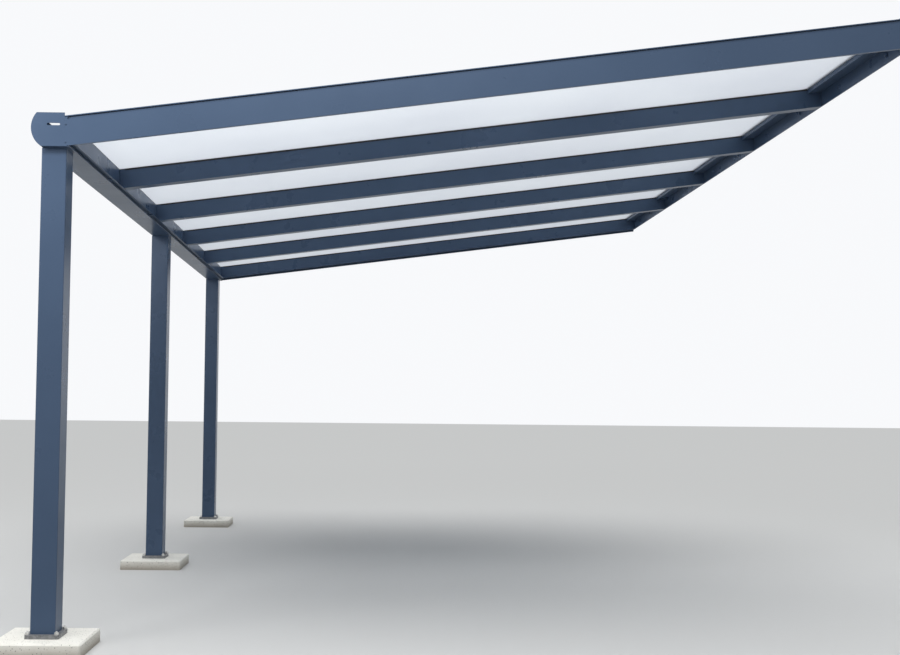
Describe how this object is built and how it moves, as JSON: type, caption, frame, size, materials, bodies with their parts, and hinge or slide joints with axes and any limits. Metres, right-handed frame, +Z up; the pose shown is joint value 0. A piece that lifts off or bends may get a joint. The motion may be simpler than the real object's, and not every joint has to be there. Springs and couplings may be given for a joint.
{
  "type": "lean-to carport",
  "caption": "Open lean-to carport on posts: sloping opal roof panels on metal rafters, carried by a round-nosed gutter beam and a profile on the house wall.",
  "frame": {"origin": "middle of the wall profile's back face, on the house wall", "axes": "+X out of the profile's back face into the wall, +Y along the wall from the near gable to the far one, +Z up"},
  "size_m": [4.045, 5.24, 2.8965],
  "materials": {
    "anthracite_aluminium": "satin powder coat, blue-grey anthracite",
    "galvanised_steel": "hot-dip galvanised, grey, dull",
    "opal_polycarbonate": "opal white multiwall sheet, slightly glossy, lets diffuse light through",
    "black_rubber": "matt EPDM",
    "concrete": "pale cast concrete"
  },
  "bodies": {
    "root": {"concrete_pad_far": "concrete", "concrete_pad_middle": "concrete", "concrete_pad_near": "concrete", "cover_strip_1": "anthracite_aluminium", "cover_strip_2": "anthracite_aluminium", "cover_strip_3": "anthracite_aluminium", "cover_strip_4": "anthracite_aluminium", "cover_strip_5": "anthracite_aluminium", "cover_strip_6": "anthracite_aluminium", "foot_plate_far": "galvanised_steel", "foot_plate_middle": "galvanised_steel", "foot_plate_near": "galvanised_steel", "gable_seals_far": "black_rubber", "gable_seals_near": "black_rubber", "gable_trim_far": "anthracite_aluminium", "gable_trim_near": "anthracite_aluminium", "gutter": "anthracite_aluminium", "gutter_cap_far": "anthracite_aluminium", "gutter_cap_near": "anthracite_aluminium", "panel_end_profile_1": "anthracite_aluminium", "panel_end_profile_2": "anthracite_aluminium", "panel_end_profile_3": "anthracite_aluminium", "panel_end_profile_4": "anthracite_aluminium", "panel_end_profile_5": "anthracite_aluminium", "panel_seals_1": "black_rubber", "panel_seals_2": "black_rubber", "panel_seals_3": "black_rubber", "panel_seals_4": "black_rubber", "panel_seals_5": "black_rubber", "post_far": "anthracite_aluminium", "post_middle": "anthracite_aluminium", "post_near": "anthracite_aluminium", "rafter_1": "anthracite_aluminium", "rafter_2": "anthracite_aluminium", "rafter_3": "anthracite_aluminium", "rafter_4": "anthracite_aluminium", "rafter_5": "anthracite_aluminium", "rafter_6": "anthracite_aluminium", "roof_panel_1": "opal_polycarbonate", "roof_panel_2": "opal_polycarbonate", "roof_panel_3": "opal_polycarbonate", "roof_panel_4": "opal_polycarbonate", "roof_panel_5": "opal_polycarbonate", "wall_cover": "anthracite_aluminium", "wall_profile": "anthracite_aluminium"}
  },
  "joints": []
}
